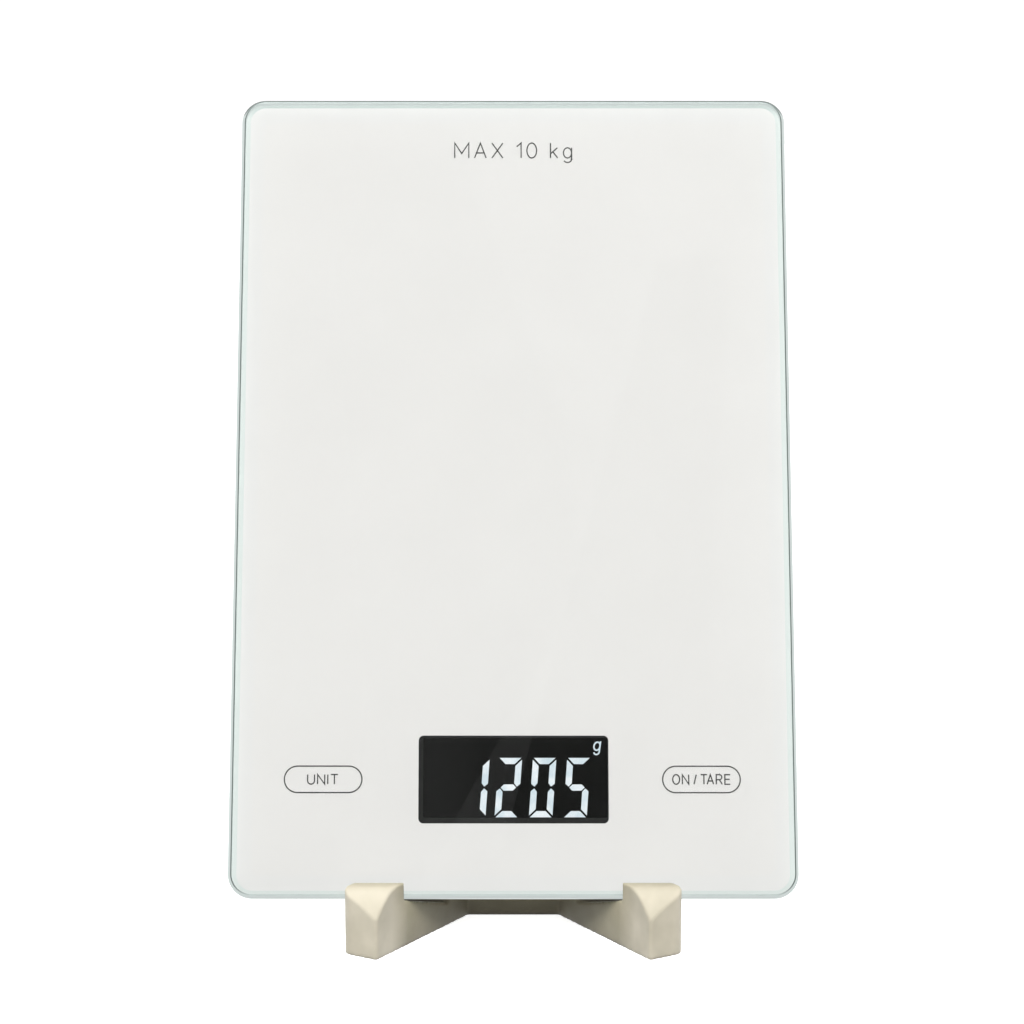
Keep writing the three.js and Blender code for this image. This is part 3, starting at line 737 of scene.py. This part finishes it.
def digit_bars(digit):
    """The lit bars of a digit, each an outline in a box from (0, 0) to (width, height)."""
    width, height = DIGIT["width"], DIGIT["height"]
    bar, gap = DIGIT["bar"], DIGIT["gap"]
    middle = height / 2
    top = [
        (gap, height),
        (width - gap, height),
        (width - bar - gap, height - bar),
        (bar + gap, height - bar),
    ]
    upper_left = [
        (0, height - 2 * gap),
        (bar, height - bar - 2 * gap),
        (bar, middle + 0.55 * bar + gap),
        (0.55 * bar, middle + gap),
        (0, middle + 0.45 * bar + gap),
    ]
    across = [
        (bar / 2 + gap, middle),
        (bar + gap, middle + bar / 2),
        (width - bar - gap, middle + bar / 2),
        (width - bar / 2 - gap, middle),
        (width - bar - gap, middle - bar / 2),
        (bar + gap, middle - bar / 2),
    ]

    def flipped_x(outline):
        return [(width - x, y) for x, y in outline]

    def flipped_y(outline):
        return [(x, height - y) for x, y in outline]

    bars = {
        "top": top,
        "upper_left": upper_left,
        "upper_right": flipped_x(upper_left),
        "middle": across,
        "lower_left": flipped_y(upper_left),
        "lower_right": flipped_x(flipped_y(upper_left)),
        "bottom": flipped_y(top),
    }
    lit = {
        "0": ["top", "upper_left", "upper_right", "lower_left", "lower_right", "bottom"],
        "1": ["upper_right", "lower_right"],
        "2": ["top", "upper_right", "middle", "lower_left", "bottom"],
        "5": ["top", "upper_left", "middle", "lower_right", "bottom"],
    }
    return [bars[name] for name in lit[digit]]


def readout(look):
    lean = math.tan(DIGIT_SLANT)
    for place, digit in enumerate(READOUT):
        bm = bmesh.new()
        left = READOUT_RIGHT - DIGIT["width"] - DIGIT_PITCH * (len(READOUT) - 1 - place)
        if digit == "1":
            left += ONE_SHIFT
        for bar in digit_bars(digit):
            outline = [(left + x + lean * y, READOUT_BOTTOM + y) for x, y in bar]
            add_prism(bm, outline, READOUT_LEVEL, READOUT_LEVEL + SEGMENT_THICKNESS)
        piece(f"digit_{place + 1}", bm, "platform", "display_glass", look)


def unit_mark(look):
    """The small g in the display's upper corner."""
    bm = bmesh.new()
    x, y = UNIT_MARK["x"], UNIT_MARK["y"]
    side = x + 0.85
    bowl = arc(x, y, side - x, 1.15, 0, 360, 24)[:-1]
    tail = [(side, y + 1.4), (side, y - 1.5), *arc(side - 0.75, y - 1.6, 0.75, 0.75, -10, -170, 8)]
    lean = math.tan(UNIT_MARK["slant"])
    level = READOUT_LEVEL
    for line, ring in ((bowl, True), (tail, False)):
        points = [(px + lean * (py - y), py) for px, py in line]
        add_ribbon(bm, points, UNIT_MARK["line"], level, level + SEGMENT_THICKNESS, ring)
        level += 0.002  # so that the bowl and the tail aren't in one plane
    piece("unit_mark", bm, "platform", "display_glass", look)


# ---- The stand ------------------------------------------------------------------------------

def smooth_stand(look):
    """The moulded stand, with every edge eased as a mould leaves it."""
    node = frame["nodes"]["stand"]
    stand = new_object("moulded_stand", node.data.copy())
    remesh = stand.modifiers.new("remesh", "REMESH")
    remesh.mode = "VOXEL"
    remesh.voxel_size = 0.5 * MM
    ease = stand.modifiers.new("ease", "SMOOTH")
    ease.factor = 0.5
    ease.iterations = 3
    solid = bpy.data.meshes.new_from_object(stand.evaluated_get(bpy.context.evaluated_depsgraph_get()))
    stand.modifiers.clear()
    stand.data = solid
    solid.materials.clear()
    solid.materials.append(look)
    solid.polygons.foreach_set("use_smooth", [True] * len(solid.polygons))
    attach(stand, "stand")
    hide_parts("stand")


# ---- Feet -----------------------------------------------------------------------------------

def feet(look):
    """Turned rubber pads with a shallow dish in the sole."""
    for i in range(4):
        low, high = own_box(f"foot_{i + 1}")
        centre = (low + high) / 2
        radius = (high.x - low.x) / 2
        tall = high.z - low.z
        profile = [
            (radius - 3.4, 0.25),
            (radius - 2.6, 0.02),
            (radius - 1.7, 0),
            (radius - 1.1, 0.15),
            (radius - 0.7, 0.6),
            (radius - 0.6, tall - 0.7),
            (radius - 0.1, tall - 0.55),
            (radius - 0.1, tall),
        ]
        levels = [
            (arc(centre.x, centre.y, r, r, 0, 360, 48)[:-1], low.z + z)
            for r, z in profile
        ]
        bm = bmesh.new()
        add_stack(bm, levels)
        pad = piece(f"rubber_foot_{i + 1}", bm, "scale_base", "foot_rubber", look)
        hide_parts(f"foot_{i + 1}")


# ---- The load cell --------------------------------------------------------------------------

def bending_pieces(looks):
    """The load cell and its seal, which give between their screwed ends as the platform is pressed."""
    for node, slot in (("load_cell", "aluminium"), ("gauge_seal", "silicone")):
        obj = new_object(f"bending_{node}", frame["nodes"][node].data.copy())
        obj.data.materials.clear()
        obj.data.materials.append(looks[slot])
        shade(obj.data)
        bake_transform(obj)
        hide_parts(node)


# ---- Materials for the CAD nodes that stay --------------------------------------------------

def smooth_by_angle():
    """A geometry node group that shades a mesh smooth except across its sharp edges."""
    group = bpy.data.node_groups.new("smooth_by_angle", "GeometryNodeTree")
    group.interface.new_socket("Geometry", in_out="INPUT", socket_type="NodeSocketGeometry")
    group.interface.new_socket("Geometry", in_out="OUTPUT", socket_type="NodeSocketGeometry")
    start = group.nodes.new("NodeGroupInput")
    end = group.nodes.new("NodeGroupOutput")
    faces = group.nodes.new("GeometryNodeSetShadeSmooth")
    edges = group.nodes.new("GeometryNodeSetShadeSmooth")
    edges.domain = "EDGE"
    angle = group.nodes.new("GeometryNodeInputMeshEdgeAngle")
    soft = group.nodes.new("FunctionNodeCompare")
    soft.operation = "LESS_THAN"
    soft.inputs["B"].default_value = SHARP_ANGLE
    group.links.new(start.outputs[0], faces.inputs["Geometry"])
    group.links.new(faces.outputs["Geometry"], edges.inputs["Geometry"])
    group.links.new(angle.outputs["Unsigned Angle"], soft.inputs["A"])
    group.links.new(soft.outputs["Result"], edges.inputs["Shade Smooth"])
    group.links.new(edges.outputs["Geometry"], end.inputs[0])
    return group


def dress_nodes(looks):
    """Gives every CAD node that still shows its material."""
    group = smooth_by_angle()
    for entry in frame["record"]["subparts"]:
        node = frame["nodes"][entry["node"]]
        node.data.materials.clear()
        node.data.materials.append(looks[entry["material_slot"]])
        node.modifiers.new("shading", "NODES").node_group = group


# ---- Studio ---------------------------------------------------------------------------------

def glass_centre():
    return SCALE_FRAME @ Vector((0, 0, GLASS_TOP))


def camera():
    """Looks slightly down at the scale from the front, with a long lens."""
    elevation = math.radians(9.4)
    distance = 0.7527
    aim_below_centre = 0.0070
    aim_left_of_centre = 0.00035
    data = bpy.data.cameras.new("camera")
    data.sensor_width = 36
    data.lens = 92.26
    cam = new_object("camera", data)
    forward = Vector((0, math.cos(elevation), -math.sin(elevation)))
    up = Vector((0, math.sin(elevation), math.cos(elevation)))
    cam.location = glass_centre() - forward * distance - up * aim_below_centre
    cam.location.x -= aim_left_of_centre
    cam.rotation_euler = forward.to_track_quat("-Z", "Y").to_euler()
    bpy.context.scene.camera = cam


def floor():
    """A pale floor, lit a little from inside to keep its shadows faint."""
    radius = 9
    thickness = 0.01
    bm = bmesh.new()
    add_prism(bm, arc(0, 0, radius, radius, 0, 360, 64)[:-1], -thickness, 0)
    mesh = bpy.data.meshes.new("floor")
    bm.to_mesh(mesh)
    bm.free()
    obj = new_object("floor", mesh)
    mesh.materials.append(floor_paint())
    obj.visible_diffuse = False
    obj.visible_transmission = False


def card_paint(name, brightness):
    look = Look(name, (brightness,) * 3, 0.9, specular_ior_level=0.0)
    look.mottle(2, (brightness * 0.98,) * 3, (brightness,) * 3)
    return look.material


def card(name, corners, brightness):
    """A studio card that only reflections and the glass see."""
    mesh = bpy.data.meshes.new(name)
    mesh.from_pydata([tuple(c) for c in corners], [], [tuple(range(len(corners)))])
    obj = new_object(name, mesh)
    mesh.materials.append(card_paint(name, brightness))
    obj.visible_camera = False
    obj.visible_diffuse = False
    obj.visible_shadow = False


def seen_in_glass(x, y, reach):
    """Where the camera's view of a place on the glass's front ends up, reflected, after that reach."""
    place = SCALE_FRAME @ Vector((x, y, GLASS_TOP))
    ray = (place - bpy.context.scene.camera.location).normalized()
    return place + (ray - 2 * ray.dot(OUT_OF_GLASS) * OUT_OF_GLASS) * reach


def display_cards():
    """A black card behind all the glass's reflections, and a dim one in front of it.

    The dim card's slanting edge shows in the display.
    """
    reach = 0.9
    apart = 0.02
    side = GLASS_SIZE.x * 0.6  # past the glass's long sides
    end = GLASS_SIZE.y * 0.56  # and past its ends
    black = [(-side, -end), (side, -end), (side, end), (-side, end)]
    card("black_card", [seen_in_glass(x, y, reach) for x, y in black], brightness=0.0)
    top_x, bottom_x = 1.5, -5  # where the dim card's edge crosses the window's long sides
    lean = (top_x - bottom_x) / WINDOW["length"]
    edge = [(bottom_x + lean * (y - WINDOW["y"] + WINDOW["length"] / 2), y) for y in (-end, end)]
    dim = [(-side, -end), edge[0], edge[1], (-side, end)]
    card("dim_card", [seen_in_glass(x, y, reach - apart) for x, y in dim], brightness=0.22)


def area_light(name, place, size, power):
    data = bpy.data.lights.new(name, "AREA")
    data.size = size
    data.energy = power
    light = new_object(name, data)
    light.location = place
    light.rotation_euler = (glass_centre() - Vector(place)).to_track_quat("-Z", "Y").to_euler()
    light.visible_glossy = False
    light.visible_transmission = False  # its straight shadow rays already pass the glass


def graded(nodes, low, high, dark, bright):
    """A node that takes values from low to high over to brightness from dark to bright."""
    node = nodes.new("ShaderNodeMapRange")
    for name, value in zip(("From Min", "From Max", "To Min", "To Max"), (low, high, dark, bright)):
        node.inputs[name].default_value = value
    return node


def brightest_of(nodes, links, first, *others):
    """The largest of some values."""
    for other in others:
        node = nodes.new("ShaderNodeMath")
        node.operation = "MAXIMUM"
        links.new(first, node.inputs[0])
        links.new(other, node.inputs[1])
        first = node.outputs[0]
    return first


def world():
    """Dim low down in front, lighter above, white behind and far to the sides.

    Where the camera looks past the floor it sees plain white.
    """
    scene = bpy.context.scene
    scene.view_settings.view_transform = "Standard"
    scene.world = bpy.data.worlds.new("studio")
    scene.world.use_nodes = True
    nodes = scene.world.node_tree.nodes
    links = scene.world.node_tree.links
    direction = nodes.new("ShaderNodeTexCoord")
    parts = nodes.new("ShaderNodeSeparateXYZ")
    sideways = nodes.new("ShaderNodeMath")
    sideways.operation = "ABSOLUTE"
    above = graded(nodes, low=0.28, high=0.5, dark=0.03, bright=0.2)
    behind = graded(nodes, low=0.0, high=0.2, dark=0.0, bright=1.1)
    beside = graded(nodes, low=0.88, high=0.97, dark=0.0, bright=0.9)
    links.new(direction.outputs["Generated"], parts.inputs[0])
    links.new(parts.outputs["X"], sideways.inputs[0])
    links.new(parts.outputs["Z"], above.inputs["Value"])
    links.new(parts.outputs["Y"], behind.inputs["Value"])
    links.new(sideways.outputs[0], beside.inputs["Value"])
    room = nodes["Background"]
    room.inputs["Color"].default_value = (1, 1, 1, 1)
    brightness = brightest_of(nodes, links, *(node.outputs["Result"] for node in (above, behind, beside)))
    links.new(brightness, room.inputs["Strength"])
    backdrop = nodes.new("ShaderNodeBackground")
    backdrop.inputs["Strength"].default_value = 1.1
    backdrop.inputs["Color"].default_value = (1, 1, 1, 1)
    path = nodes.new("ShaderNodeLightPath")
    mix = nodes.new("ShaderNodeMixShader")
    links.new(path.outputs["Is Camera Ray"], mix.inputs[0])
    links.new(room.outputs[0], mix.inputs[1])
    links.new(backdrop.outputs[0], mix.inputs[2])
    links.new(mix.outputs[0], nodes["World Output"].inputs["Surface"])


def studio():
    camera()
    floor()
    world()
    display_cards()
    area_light("front_light", place=(-0.16, -3.85, 4.34), size=2.25, power=402)


# ---- Everything together --------------------------------------------------------------------

def looks_by_slot():
    return {
        "clear_glass": clear_glass(),
        "white_print": white_print(),
        "foam_tape": foam_tape(),
        "white_plastic": white_plastic(),
        "display_glass": display_black(),
        "light_guide": light_guide(),
        "circuit_board": circuit_board(),
        "black_resin": black_resin(),
        "silicone": silicone(),
        "steel": steel(),
        "spring_metal": spring_metal(),
        "aluminium": aluminium(),
        "foot_rubber": foot_rubber(),
        "battery_sleeve": battery_sleeve(),
        "wire_sleeve": wire_sleeve(),
        "stand_plastic": stand_plastic(),
    }


def build():
    looks = looks_by_slot()
    dress_nodes(looks)
    glass_plate(looks["clear_glass"])
    back_print(looks["white_print"], white_print_border())
    printed_marks(grey_ink())
    display_panel(looks["display_glass"])
    display_inner_frame(display_frame())
    lit = lit_segment()
    readout(lit)
    unit_mark(lit)
    feet(looks["foot_rubber"])
    smooth_stand(looks["stand_plastic"])
    bending_pieces(looks)
    studio()


build()
